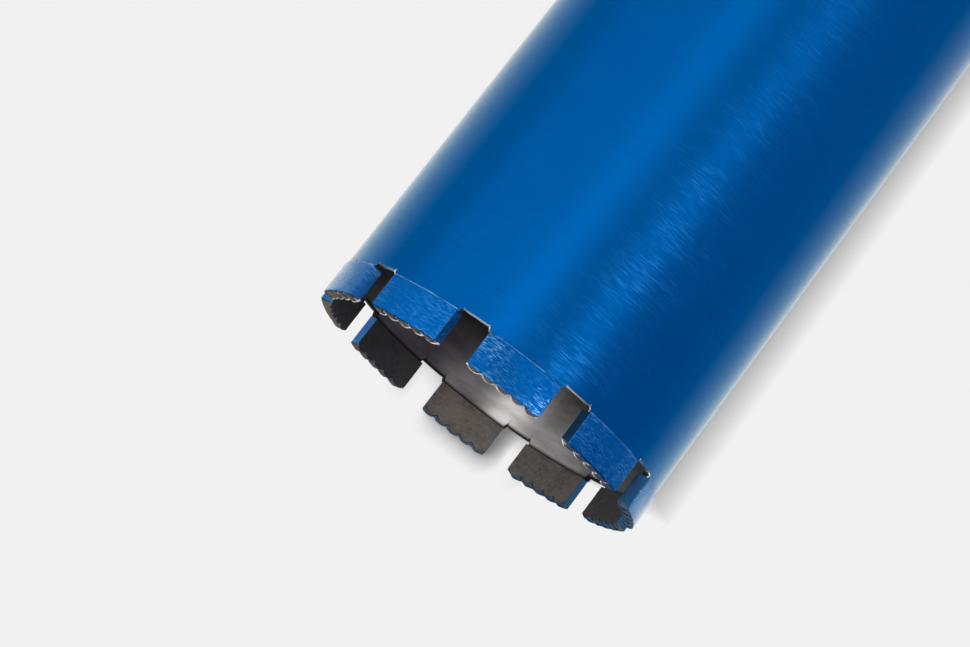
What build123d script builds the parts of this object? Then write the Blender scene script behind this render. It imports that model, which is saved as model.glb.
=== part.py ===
"""Wet core bit for concrete: a thin steel barrel with ten diamond segments welded round its rim.

It stands on the end of its hub with the crown up. The origin is the centre of the hub's seat face, and +Z
runs along the bit towards the crown. Sizes are millimetres.
"""

import os

from math import atan2, degrees
from build123d import *

# The cutting crown
BIT_RADIUS = 56.0  # over the segments, half of a 112 mm core bit
USABLE_DEPTH = 370.0  # from the crown's crests to the back plate's inner face
SEGMENT_COUNT = 10
SEGMENT_LENGTH = 24.0  # between the two parallel ends
SEGMENT_THICKNESS = 3.5
SEGMENT_HEIGHT = 11.2  # from the barrel's rim to the crests
SEGMENT_FRONT = -90.0  # degrees round +Z to the middle of the first segment
CREST_COUNT = 5  # rounded ridges pressed across each segment's cutting end
CREST_RADIUS = 2.6
CREST_END_FLAT = 0.5  # at both ends of the row of ridges
CREST_RISE = 0.35  # how far a ridge rises from the inner face to the chamfer
CREST_CHAMFER = 1.4  # width of the chamfer that takes the ridges down to the outer face
CREST_OUTSIDE = 0.15  # height of a ridge at the outer face
VALLEY_INSIDE = 1.3  # from the highest crest down to the valleys at the inner face
VALLEY_OUTSIDE = 0.95  # and at the outer face

# The barrel
BARREL_WALL = 2.0
OUTSIDE_CLEARANCE = 0.5  # how far the segments stand proud of the barrel outside
SLOT_WIDTH = 8.8  # of the root of the water slot that the rim has between two segments
SLOT_DEPTH = 1.2
SLOT_FLARE = 0.7  # how far each side of the slot opens out towards the rim
SLOT_CORNER = 0.5

# The back plate that closes the barrel
FLANGE_THICKNESS = 6.0  # the part that the barrel's end stands on
SPIGOT_HEIGHT = 4.0  # the part that fits inside the barrel
SPIGOT_CLEARANCE = 0.1
FLANGE_CHAMFER = 1.2
SPIGOT_CHAMFER = 0.8

# The hub, with the thread for the drill's spindle
HUB_DIAMETER = 48.0
HUB_LENGTH = 40.0  # from the seat face to the back plate
HUB_CHAMFER = 1.2
THREAD_DIAMETER = 31.75  # major diameter of the 1 1/4 inch, 7 per inch spindle thread
THREAD_LENGTH = 34.0
THREAD_MOUTH = 1.5  # chamfer at the start of the thread
WATER_BORE = 20.0
NECK_DIAMETER = 40.0  # the turned neck that goes through the back plate
NECK_CLEARANCE = 0.05
NECK_PROUD = 1.5  # how far the neck stands above the plate's inner face
SPANNER_SIZE = 41.0  # across the six flats
SPANNER_WIDTH = 20.0
SPANNER_START = 9.0  # from the seat face to the flats
WELD_LEG = 5.0  # of the fillet weld between the hub and the plate

# Levels above the seat face, and radii, worked out from the sizes above
PLATE_BOTTOM = HUB_LENGTH
BARREL_BOTTOM = PLATE_BOTTOM + FLANGE_THICKNESS
PLATE_TOP = BARREL_BOTTOM + SPIGOT_HEIGHT
CROWN_TOP = PLATE_TOP + USABLE_DEPTH
RIM = CROWN_TOP - SEGMENT_HEIGHT
SEGMENT_INSIDE = BIT_RADIUS - SEGMENT_THICKNESS
BARREL_OUTSIDE = BIT_RADIUS - OUTSIDE_CLEARANCE
BARREL_INSIDE = BARREL_OUTSIDE - BARREL_WALL
PITCH_ANGLE = 360.0 / SEGMENT_COUNT


def ring(inner, outer, bottom, top):
    """A plain ring round +Z."""
    return Pos(0, 0, bottom) * extrude(Circle(outer) - Circle(inner), top - bottom)


def turned(points):
    """A solid turned round +Z from corner points of (radius, height)."""
    return revolve(make_face(Plane.XZ * Polyline(*points, close=True)), Axis.Z)


def ridge():
    """One round ridge of the cutting end, on the +Y side.

    It is a cylinder that lies across the segment and rises from the inner face to the outer chamfer.
    """
    lean = degrees(atan2(CREST_RISE, SEGMENT_THICKNESS - CREST_CHAMFER))
    bar = Pos(0, 0, -CREST_RADIUS) * Rot(90, 0, 0) * Cylinder(CREST_RADIUS, 4 * SEGMENT_THICKNESS)
    return Pos(0, BIT_RADIUS - CREST_CHAMFER, CROWN_TOP) * Rot(lean, 0, 0) * bar


def segment():
    """One diamond segment, on the +Y side.

    It is pressed from powder with its ridges, which point at the bit's axis, and its ends are parallel.
    """
    block = turned(
        [
            (SEGMENT_INSIDE, RIM),
            (BIT_RADIUS, RIM),
            (BIT_RADIUS, CROWN_TOP - VALLEY_OUTSIDE),
            (SEGMENT_INSIDE, CROWN_TOP - VALLEY_INSIDE),
        ]
    )
    pitch = (SEGMENT_LENGTH - 2 * CREST_END_FLAT) / CREST_COUNT
    for i in range(CREST_COUNT):
        turn = degrees((i - (CREST_COUNT - 1) / 2) * pitch / SEGMENT_INSIDE)
        block += Rot(0, 0, turn) * ridge()
    ends = Pos(0, BIT_RADIUS, RIM) * Box(SEGMENT_LENGTH, BIT_RADIUS, 4 * SEGMENT_HEIGHT)
    chamfered = turned(
        [
            (SEGMENT_INSIDE, RIM),
            (BIT_RADIUS, RIM),
            (BIT_RADIUS, CROWN_TOP - VALLEY_OUTSIDE + CREST_OUTSIDE),
            (BIT_RADIUS - CREST_CHAMFER, CROWN_TOP),
            (SEGMENT_INSIDE, CROWN_TOP),
        ]
    )
    return block & ends & chamfered


def water_slot():
    """The cutter for one slot in the rim, on the +Y side, with flared sides and rounded root corners."""
    root = SLOT_WIDTH / 2
    mouth = root + 2 * SLOT_FLARE
    outline = Polyline(
        (-root, -SLOT_DEPTH), (root, -SLOT_DEPTH), (mouth, SLOT_DEPTH), (-mouth, SLOT_DEPTH), close=True
    )
    outline = make_face(outline)
    outline = fillet(outline.vertices().sort_by(Axis.Y)[:2], SLOT_CORNER)
    plane = Plane(origin=(0, BARREL_INSIDE - 5, RIM), x_dir=(1, 0, 0), z_dir=(0, 1, 0))
    return extrude(plane * outline, BARREL_WALL + 10)


def barrel():
    """The tube, with a water slot between each two segments."""
    tube = ring(BARREL_INSIDE, BARREL_OUTSIDE, BARREL_BOTTOM, RIM)
    slots = [
        Rot(0, 0, SEGMENT_FRONT - 90 + (i + 0.5) * PITCH_ANGLE) * water_slot() for i in range(SEGMENT_COUNT)
    ]
    return tube - slots


def back_plate():
    """The disc that closes the barrel: a flange under the barrel's end and a spigot inside it."""
    hole = NECK_DIAMETER / 2 + NECK_CLEARANCE
    spigot = BARREL_INSIDE - SPIGOT_CLEARANCE
    return turned(
        [
            (hole, PLATE_BOTTOM),
            (BARREL_OUTSIDE - FLANGE_CHAMFER, PLATE_BOTTOM),
            (BARREL_OUTSIDE, PLATE_BOTTOM + FLANGE_CHAMFER),
            (BARREL_OUTSIDE, BARREL_BOTTOM),
            (spigot, BARREL_BOTTOM),
            (spigot, PLATE_TOP - SPIGOT_CHAMFER),
            (spigot - SPIGOT_CHAMFER, PLATE_TOP),
            (hole, PLATE_TOP),
        ]
    )


def hub():
    """The turned hub: seat face, spindle thread, water bore, spanner flats, weld fillet and neck."""
    outside = HUB_DIAMETER / 2
    thread = THREAD_DIAMETER / 2
    water = WATER_BORE / 2
    neck = NECK_DIAMETER / 2
    neck_top = PLATE_TOP + NECK_PROUD
    body = turned(
        [
            (thread + THREAD_MOUTH, 0),
            (outside - HUB_CHAMFER, 0),
            (outside, HUB_CHAMFER),
            (outside, PLATE_BOTTOM - WELD_LEG),
            (outside + WELD_LEG, PLATE_BOTTOM),
            (neck, PLATE_BOTTOM),
            (neck, neck_top),
            (water, neck_top),
            (water, THREAD_LENGTH),
            (thread, THREAD_LENGTH),
            (thread, THREAD_MOUTH),
        ]
    )
    hexagon = RegularPolygon(SPANNER_SIZE / 2, 6, major_radius=False)
    around = Circle(HUB_DIAMETER) - hexagon
    return body - Pos(0, 0, SPANNER_START) * extrude(around, SPANNER_WIDTH)


def parts():
    """Every piece by name, where it belongs."""
    pieces = {"barrel": barrel(), "back_plate": back_plate(), "hub": hub()}
    block = segment()
    for i in range(SEGMENT_COUNT):
        pieces[f"segment_{i + 1:02d}"] = Rot(0, 0, SEGMENT_FRONT - 90 + i * PITCH_ANGLE) * block
    return pieces


os.makedirs("parts", exist_ok=True)
for name, piece in parts().items():
    export_step(piece, f"parts/{name}.step")
    print(name, round(piece.volume / 1000, 2), "cm3")
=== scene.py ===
# %% [markdown]
# # A wet core bit
# This lesson dresses a core bit for concrete: a thin steel tube with ten diamond segments welded round
# its rim. The frame gives the real solids. Each piece is then rebuilt as a fine surface, because a tube
# under lacquer shows every flat of a coarse mesh in its reflections.

import math

import bpy
import numpy as np
from mathutils import Matrix, Vector


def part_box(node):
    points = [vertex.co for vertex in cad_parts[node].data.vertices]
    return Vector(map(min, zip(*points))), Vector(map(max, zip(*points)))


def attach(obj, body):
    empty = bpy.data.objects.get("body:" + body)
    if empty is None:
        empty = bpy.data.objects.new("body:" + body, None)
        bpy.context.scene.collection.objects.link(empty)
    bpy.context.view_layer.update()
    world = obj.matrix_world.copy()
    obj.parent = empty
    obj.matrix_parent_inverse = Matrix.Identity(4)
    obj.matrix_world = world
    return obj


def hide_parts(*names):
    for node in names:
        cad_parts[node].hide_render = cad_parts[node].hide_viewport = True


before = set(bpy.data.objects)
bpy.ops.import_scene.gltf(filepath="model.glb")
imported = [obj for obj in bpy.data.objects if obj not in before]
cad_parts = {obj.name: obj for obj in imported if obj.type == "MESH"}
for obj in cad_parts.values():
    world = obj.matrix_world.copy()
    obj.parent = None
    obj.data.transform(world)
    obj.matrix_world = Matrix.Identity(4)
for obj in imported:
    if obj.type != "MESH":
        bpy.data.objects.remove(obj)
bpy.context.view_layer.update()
scene = bpy.context.scene
MM = 0.001
SEGMENTS = sorted(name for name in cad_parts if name.startswith("segment"))
print("nodes", len(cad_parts), "segments", len(SEGMENTS))

# %% [markdown]
# The sizes below are the bit's own. Levels come from the frame, so that they follow the solids, and the
# radii of the round walls are written once, because a faceted solid gives them only roughly. What looks
# random comes from numbered seeds, so that every run gives the same bit.

# %% Sizes
BIT_RADIUS = 56.0 * MM
SEGMENT_INSIDE = 52.5 * MM
SEGMENT_LENGTH = 24.0 * MM
BARREL_OUTSIDE = 55.5 * MM
BARREL_INSIDE = 53.5 * MM
PITCH = 2 * math.pi / len(SEGMENTS)
SEGMENT_FRONT = -math.pi / 2
BARREL_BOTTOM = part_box("barrel")[0].z
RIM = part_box("barrel")[1].z
CROWN_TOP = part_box(SEGMENTS[0])[1].z
PLATE_BOTTOM, PLATE_TOP = (corner.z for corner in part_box("back_plate"))
SEEDS = dict(notch=3, wear=40, dents=90, grain=190, lip=300, seam=500, ripple=600, burr=700, flash=800)
print("rim", round(RIM / MM, 2), "crown", round(CROWN_TOP / MM, 2))

# %% [markdown]
# ## Camera
# The bit stands on its hub, and the camera is turned on its own axis, so that the crown points down and
# to the left of the frame. A heading, a pitch and a roll say that more plainly than a matrix does.

# %% Camera
FRAME_WIDTH = 970
FOCAL_PIXELS = 2141.4
CAMERA_PLACE = Vector((24.1, -608.9, 522.8)) * MM
CAMERA_HEADING = math.radians(1.0)
CAMERA_PITCH = math.radians(-11.7)
CAMERA_ROLL = math.radians(-142.45)
SENSOR_WIDTH = 36.0
FARTHEST_SEEN = 20.0

camera_data = bpy.data.cameras.new("camera")
camera_data.sensor_width = SENSOR_WIDTH
camera_data.lens = FOCAL_PIXELS * SENSOR_WIDTH / FRAME_WIDTH
camera_data.clip_end = FARTHEST_SEEN
camera = bpy.data.objects.new("camera", camera_data)
scene.collection.objects.link(camera)
turn = (
    Matrix.Rotation(CAMERA_HEADING, 4, "Z")
    @ Matrix.Rotation(math.pi / 2 + CAMERA_PITCH, 4, "X")
    @ Matrix.Rotation(CAMERA_ROLL, 4, "Z")
)
camera.matrix_world = Matrix.Translation(CAMERA_PLACE) @ turn
scene.camera = camera
scene.view_settings.view_transform = "Standard"
print("lens", round(camera_data.lens, 2))

# %% [markdown]
# ## Lamps
# Lacquer over metal shows little but what it mirrors, so each lamp is a soft box of a chosen place and
# width. The key and the fill stand low, one on each side of the camera, and each draws a pale stripe down
# the tube, with a weak narrow one between them. A higher one looks over the rim at the inner wall, and one
# overhead lights the cutting ends. Area lamps close to the bit would fade along the tube. Suns light its
# whole length evenly.

# %% Lamps
LAMPS = {
    "key": dict(heading=-32, height=2, strength=0.66, width=54),
    "fill": dict(heading=-113, height=2, strength=0.30, width=22),
    "spark": dict(heading=-71, height=2, strength=0.02, width=9),
    "high": dict(heading=-70, height=24, strength=0.76, width=23),
    "roof": dict(heading=-90, height=80, strength=1.30, width=50),
}


def sun(name, heading, height, strength, width):
    """A sun that shines from a compass heading (degrees from +X) and a height above the horizon."""
    a, e = math.radians(heading), math.radians(height)
    towards = Vector((math.cos(a) * math.cos(e), math.sin(a) * math.cos(e), math.sin(e)))
    data = bpy.data.lights.new(name, "SUN")
    data.energy = strength
    data.angle = math.radians(width)
    lamp = bpy.data.objects.new(name, data)
    lamp.rotation_mode = "QUATERNION"
    lamp.rotation_quaternion = towards.to_track_quat("Z", "Y")
    scene.collection.objects.link(lamp)


for name, lamp in LAMPS.items():
    sun(name, **lamp)
print("lamps", ", ".join(LAMPS))

# %% [markdown]
# The sky and every finish are graphs of nodes. They could be wired socket by socket, which takes a page
# for each. A few helpers do it instead: one adds a node with its settings, and the rest stand for a sum,
# a stretched value and a blend, so that a finish reads like a recipe.

# %% Node helpers
def add(tree, kind, **values):
    """A new node with its sockets and settings filled in by name."""
    made = tree.nodes.new(kind)
    for name, value in values.items():
        socket = made.inputs.get(name.replace("_", " "))
        if socket is not None:
            socket.default_value = value
        else:
            setattr(made, name, value)
    return made


def feed(tree, socket, value):
    """Give a socket what it reads: another socket, a number, or an (r, g, b)."""
    if isinstance(value, bpy.types.NodeSocket):
        tree.links.new(value, socket)
    else:
        socket.default_value = (*value, 1.0) if isinstance(value, tuple) else value


def grey(value):
    return (value, value, value)


def combine(tree, operation, a, b):
    """One Math node on two values, each a socket or a number."""
    made = add(tree, "ShaderNodeMath", operation=operation)
    feed(tree, made.inputs[0], a)
    feed(tree, made.inputs[1], b)
    return made.outputs[0]


def ranged(tree, value, low, high, to_low=0.0, to_high=1.0):
    """value from low..high stretched to to_low..to_high, and held at the ends."""
    made = add(tree, "ShaderNodeMapRange")
    for socket, number in zip(("From Min", "From Max", "To Min", "To Max"), (low, high, to_low, to_high)):
        made.inputs[socket].default_value = number
    tree.links.new(value, made.inputs["Value"])
    return made.outputs[0]


def blend(tree, kind, factor, a, b):
    """a where factor is 0 and b where it is 1. kind is the Mix node's data type."""
    made = add(tree, "ShaderNodeMix", data_type=kind)
    feed(tree, made.inputs["Factor"], factor)
    feed(tree, made.inputs["A"], a)
    feed(tree, made.inputs["B"], b)
    return made.outputs["Result"]


def blend_colours(tree, factor, a, b):
    return blend(tree, "RGBA", factor, a, b)


def blend_values(tree, factor, a, b):
    return blend(tree, "FLOAT", factor, a, b)


def join_shaders(tree, kind, *sources):
    """A Mix Shader (factor, a, b) or an Add Shader (a, b)."""
    made = add(tree, kind)
    for socket, source in zip(made.inputs, sources):
        tree.links.new(source, socket)
    return made.outputs[0]


# %% [markdown]
# ## Sky
# The tube mirrors the whole studio: a pale table behind the bit, a room in front of it that gets dimmer
# and bluer to one side, and a dark ceiling. A picture of a room would do the same. Three blends along X, Y
# and Z are enough, and each can be set by itself. The camera sees only the table's tone.

# %% Sky
TABLE_TONE = 0.88
ROOM_LIGHT = (0.98, 0.98, 1.05)
ROOM_SHADE = (0.27, 0.20, 0.50)
CEILING = (0.10, 0.095, 0.10)
SKY_ACROSS = (0.1, -0.9)
SKY_BEHIND = (0.0, 0.6)
SKY_ABOVE = (0.10, 0.45)


def studio_sky():
    """The three blends in turn, each over its range of the direction's X, Y or Z."""
    world = bpy.data.worlds.new("studio")
    world.use_nodes = True
    tree = world.node_tree
    tree.nodes.clear()
    direction = add(tree, "ShaderNodeTexCoord")
    parts = add(tree, "ShaderNodeSeparateXYZ")
    tree.links.new(direction.outputs["Generated"], parts.inputs[0])
    room = blend_colours(tree, ranged(tree, parts.outputs["X"], *SKY_ACROSS), ROOM_LIGHT, ROOM_SHADE)
    whole = blend_colours(tree, ranged(tree, parts.outputs["Y"], *SKY_BEHIND), room, grey(TABLE_TONE))
    roofed = blend_colours(tree, ranged(tree, parts.outputs["Z"], *SKY_ABOVE), whole, CEILING)
    light = add(tree, "ShaderNodeBackground", Strength=1.0)
    feed(tree, light.inputs["Color"], roofed)
    plain = add(tree, "ShaderNodeBackground", Strength=1.0)
    feed(tree, plain.inputs["Color"], grey(TABLE_TONE))
    ray = add(tree, "ShaderNodeLightPath").outputs["Is Camera Ray"]
    last = add(tree, "ShaderNodeOutputWorld")
    seen = join_shaders(tree, "ShaderNodeMixShader", ray, light.outputs[0], plain.outputs[0])
    feed(tree, last.inputs["Surface"], seen)
    return world


scene.world = studio_sky()
print("sky", scene.world.name)

# %% [markdown]
# ## Floor
# The floor is a pale disc under the hub. White paper under strong light would do, but that light would
# fall on the bit too. So the paper is plain, and it glows a little for the camera and in mirrors only.

# %% Stage helpers and floor
FLOOR_RADIUS = 3.0
FLOOR_LEVEL = -0.3 * MM
FLOOR_CORNERS = 96
FLOOR_ALBEDO = 0.86
GLOW_SEEN = 0.29
GLOW_MIRRORED = 0.24


def stage_piece(name, corners, material):
    mesh = bpy.data.meshes.new(name)
    mesh.from_pydata(corners, [], [list(range(len(corners)))])
    piece = bpy.data.objects.new(name, mesh)
    scene.collection.objects.link(piece)
    mesh.materials.append(material)
    print("stage", name)
    return piece


def blank_material(name):
    made = bpy.data.materials.new(name)
    made.use_nodes = True
    made.node_tree.nodes.clear()
    return made, made.node_tree, add(made.node_tree, "ShaderNodeOutputMaterial")


def floor_material():
    """Plain matte paper that keeps the shadow. It is paler where it is seen or mirrored, so that no more
    light has to fall on the bit."""
    made, tree, last = blank_material("floor_paper")
    matte = add(tree, "ShaderNodeBsdfDiffuse")
    feed(tree, matte.inputs["Color"], grey(FLOOR_ALBEDO))
    ray = add(tree, "ShaderNodeLightPath")
    seen = combine(tree, "MULTIPLY", ray.outputs["Is Camera Ray"], GLOW_SEEN)
    mirrored = combine(tree, "MULTIPLY", ray.outputs["Is Glossy Ray"], GLOW_MIRRORED)
    glow = add(tree, "ShaderNodeEmission")
    feed(tree, glow.inputs["Color"], grey(1.0))
    feed(tree, glow.inputs["Strength"], combine(tree, "ADD", seen, mirrored))
    both = join_shaders(tree, "ShaderNodeAddShader", matte.outputs[0], glow.outputs[0])
    feed(tree, last.inputs["Surface"], both)
    return made


turns = np.linspace(0, 2 * math.pi, FLOOR_CORNERS, endpoint=False)
floor_ring = np.stack([np.cos(turns), np.sin(turns), 0 * turns], 1) * FLOOR_RADIUS
floor_ring[:, 2] = FLOOR_LEVEL
stage_piece("floor", floor_ring.tolist(), floor_material())

# %% [markdown]
# ## Backdrop
# The backdrop is a pale sheet that touches the back of the tube and catches its soft shadow. It could be
# lit by a lamp of its own, which would colour the bit. Instead it glows evenly, and a shader that counts
# blocked rays darkens it beside the tube. It is clear from behind, so it hides nothing in a view from
# the back, and it neither blocks nor throws light.

# %% Backdrop
SHEET_HALF = Vector((0.75, 0.0, 0.6))
SHEET_MIDDLE = Vector((0.0, BIT_RADIUS + 0.6 * MM, 0.55))
SHADE_REACH = 37 * MM
SHADE_REACH_CROWN = 7 * MM
SHADE_NARROWS = (RIM - 45 * MM, RIM - 17 * MM)
SHADE_SLANT = 0.5
SHADE_LEAN = (0.9, -0.43, 0.0)
SHADE_SAMPLES = 16
SHADE_DARK = 0.55
SHADE_TONE = 0.20


def sheet_material():
    """Evenly lit paper that darkens beside the bit, on the side away from the key light.

    Its tone is the share of open rays round a direction that leans to that light. The rays are long
    beside the tube and short at the crown, and never longer than the height above the floor. They get
    shorter over a range of height plus a share of X, so that the shadow ends in a slanting line.
    """
    made, tree, last = blank_material("backdrop_paper")
    lean = add(tree, "ShaderNodeCombineXYZ", X=SHADE_LEAN[0], Y=SHADE_LEAN[1], Z=SHADE_LEAN[2])
    side = add(tree, "ShaderNodeNewGeometry")
    place = add(tree, "ShaderNodeSeparateXYZ")
    feed(tree, place.inputs[0], side.outputs["Position"])
    slant = combine(tree, "MULTIPLY", place.outputs["X"], SHADE_SLANT)
    level = combine(tree, "ADD", place.outputs["Z"], slant)
    reach = ranged(tree, level, *SHADE_NARROWS, SHADE_REACH, SHADE_REACH_CROWN)
    shade = add(tree, "ShaderNodeAmbientOcclusion", samples=SHADE_SAMPLES)
    feed(tree, shade.inputs["Normal"], lean.outputs[0])
    feed(tree, shade.inputs["Distance"], combine(tree, "MINIMUM", reach, place.outputs["Z"]))
    glow = add(tree, "ShaderNodeEmission")
    tone = ranged(tree, shade.outputs["AO"], SHADE_DARK, 1.0, SHADE_TONE, TABLE_TONE)
    feed(tree, glow.inputs["Color"], tone)
    clear = add(tree, "ShaderNodeBsdfTransparent")
    back = side.outputs["Backfacing"]
    both = join_shaders(tree, "ShaderNodeMixShader", back, glow.outputs[0], clear.outputs[0])
    feed(tree, last.inputs["Surface"], both)
    return made


low, high = SHEET_MIDDLE - SHEET_HALF, SHEET_MIDDLE + SHEET_HALF
low.z = max(low.z, 0.0)
feet = [(low.x, low.y, low.z), (high.x, low.y, low.z)]
sheet_corners = feet + [(x, y, high.z) for x, y, _ in feet[::-1]]
sheet = stage_piece("backdrop", sheet_corners, sheet_material())
for kind in ("diffuse", "glossy", "transmission", "shadow"):
    setattr(sheet, f"visible_{kind}", False)

# %% [markdown]
# ## Surfaces from numpy
# Most of the bit is a profile carried round an axis. Blender's Screw modifier could do that, but then
# nothing could change with the angle. `surface` takes a grid of points worked out with numpy and joins each
# point to its neighbours. `waves` gives the small unevenness that pressing, dressing and welding leave.

# %% Mesh helpers
SHARP = math.radians(40)


def round_axis(radius, angle, height):
    """Points at a radius and an angle round the bit's axis. Works on whole arrays."""
    radius, angle, height = np.broadcast_arrays(radius, angle, height)
    return np.stack([radius * np.cos(angle), radius * np.sin(angle), height], -1)


def ramp(value, start, run):
    """0 up to start, 1 from start + run on, and even between them."""
    return np.clip((value - start) / run, 0, 1)


def mesh_object(name, points, quads, masks, caps=()):
    """A smooth mesh from points (n, 3) and quads (m, 4), with named masks of one value a point.

    caps are further faces of any number of corners, such as the ends of a tube. Faces have to point
    outwards, so a closed skin whose volume, summed over its faces, is negative is turned round.
    """
    faces = quads.tolist() + [list(cap) for cap in caps]
    a, b, c, d = (points[quads[:, n]] for n in range(4))
    if np.sum(a * (np.cross(b, c) + np.cross(c, d))) < 0:
        faces = [face[::-1] for face in faces]
    mesh = bpy.data.meshes.new(name)
    mesh.from_pydata(points.tolist(), [], faces)
    for mask, values in masks.items():
        layer = mesh.attributes.new(mask, "FLOAT", "POINT")
        layer.data.foreach_set("value", np.asarray(values, np.float32).ravel())
    mesh.shade_smooth()
    mesh.set_sharp_from_angle(angle=SHARP)
    piece = bpy.data.objects.new(name, mesh)
    scene.collection.objects.link(piece)
    return piece


def surface(name, grid, masks):
    """A closed mesh over grid (rows, columns, 3). Quad (i, j) joins points i, i+1 and j, j+1, and the
    last row and column are joined to the first."""
    rows, columns = grid.shape[:2]
    i, j = np.arange(rows)[:, None], np.arange(columns)[None, :]
    i2, j2 = (i + 1) % rows, (j + 1) % columns
    quads = np.stack([i * columns + j, i * columns + j2, i2 * columns + j2, i2 * columns + j], -1)
    return mesh_object(name, grid.reshape(-1, 3), quads.reshape(-1, 4), masks)


# %% Relief and finishing helpers
WAVE_TERMS = 28
WAVE_PULL = 2.2
WAVE_SPREAD = 1.6


def waves(size, seed, *coordinates):
    """Soft random relief between about -1 and 1: a mean of sines in random directions.

    size holds the length of a typical feature along each coordinate.
    """
    rng = np.random.default_rng(seed)
    total = 0.0
    for _ in range(WAVE_TERMS):
        pull = rng.normal(size=len(size))
        phase = rng.uniform(0, 2 * math.pi)
        turn = sum(p * c * WAVE_PULL / s for p, c, s in zip(pull, coordinates, size))
        total = total + np.sin(turn + phase)
    return total / math.sqrt(WAVE_TERMS / 2) / WAVE_SPREAD


def finish_piece(piece, material, slot, *nodes):
    """Every finished piece gets its material and its body, and the nodes it stands for are hidden. slot is
    not used.
    """
    piece.data.materials.append(material)
    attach(piece, "root")
    if nodes:
        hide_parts(*nodes)
    print(piece.name, len(piece.data.polygons), "faces")
    return piece


sample = np.linspace(0, 1, 1000)
print("spread of waves", round(float(np.std(waves((0.01,), SEEDS["grain"], sample))), 2))

# %% [markdown]
# ## Finishes
# All finishes are built from the same few things: noise, masks that the meshes carry, and fine relief.
# Noise could be a picture wrapped on the piece, which would show a seam. It is worked out from the
# object's own coordinates instead, stretched along some axes and squeezed along others.

# %% Finish helpers
COAT_FROM, COAT_TO = 0.45, 0.85
COAT_ROUGHNESS = 0.12


def new_material(name):
    made = bpy.data.materials.new(name)
    made.use_nodes = True
    print("finish", name)
    return made, made.node_tree, made.node_tree.nodes["Principled BSDF"]


def noise(tree, size, detail=2.0, roughness=0.5):
    """Noise on Object coordinates whose features are about size (x, y, z) long, in metres."""
    where = add(tree, "ShaderNodeTexCoord")
    fit = add(tree, "ShaderNodeMapping")
    fit.inputs["Scale"].default_value = [1.0 / s for s in size]
    made = add(tree, "ShaderNodeTexNoise", Scale=1.0, Detail=detail, Roughness=roughness)
    feed(tree, fit.inputs["Vector"], where.outputs["Object"])
    feed(tree, made.inputs["Vector"], fit.outputs["Vector"])
    return made.outputs["Fac"]


def mask(tree, name):
    return add(tree, "ShaderNodeAttribute", attribute_name=name).outputs["Fac"]


def bump(tree, shader, height, distance):
    made = add(tree, "ShaderNodeBump", Strength=1.0, Distance=distance)
    feed(tree, made.inputs["Height"], height)
    feed(tree, shader.inputs["Normal"], made.outputs["Normal"])


def clear_coat(tree, shader, painted):
    """The lacquer's smooth skin. It adds white gloss only where the surface turns away, as gloss does."""
    turned = add(tree, "ShaderNodeLayerWeight", Blend=0.5)
    edge = ranged(tree, turned.outputs["Facing"], COAT_FROM, COAT_TO)
    feed(tree, shader.inputs["Coat Weight"], combine(tree, "MULTIPLY", edge, painted))
    shader.inputs["Coat Roughness"].default_value = COAT_ROUGHNESS


# %% [markdown]
# ## The tube's finish
# The tube is turned steel under clear blue lacquer. It mirrors like metal, tinted blue, and the turning
# marks run round it as fine streaks, in patches. Inside it is bare, with dull scale. Its colour darkens
# under the segments, where heat tint and painted shade meet, and painted shade darkens it deep in the tube
# and along one side. Three materials would meet in hard lines. One material with masks for lacquer and
# this darkening lets them run into each other. Where the darkening is thickest the metal is dulled, so the
# mirror fades there too.

# %% Tube finish
BLUE = (0.0, 0.100, 0.355)
BLUE_MARK = (0.012, 0.150, 0.440)
STEEL = (0.82, 0.79, 0.775)
STEEL_DULL = (0.56, 0.53, 0.51)
# Heat tint and painted shade: the colour that the inner wall darkens to deep in the tube, along one side and
# under the segments.
BURNT_AND_SHADED = (0.022, 0.018, 0.017)
MARK_SIZE = (5 * MM, 5 * MM, 0.26 * MM)
PATCH_SIZE = (30 * MM, 30 * MM, 7 * MM)
SCALE_SIZE = (9 * MM, 9 * MM, 3 * MM)
MARK_RANGE, PATCH_RANGE, SCALE_RANGE = (0.48, 0.64), (0.36, 0.58, 0.3, 1.0), (0.35, 0.7)
MARK_RELIEF = 0.010 * MM
BARE_ROUGH, LACQUER_ROUGH, MARK_ROUGH = 0.40, 0.43, 0.17
BURNT_AND_SHADED_THICK, BURNT_AND_SHADED_METAL = 0.95, 0.3
TUBE_SPECULAR = 0.06
TUBE_EDGE_TINT = (0.35, 0.90, 1.0)
BRUSHED, ROUND_THE_TUBE = 0.85, 0.25


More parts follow.
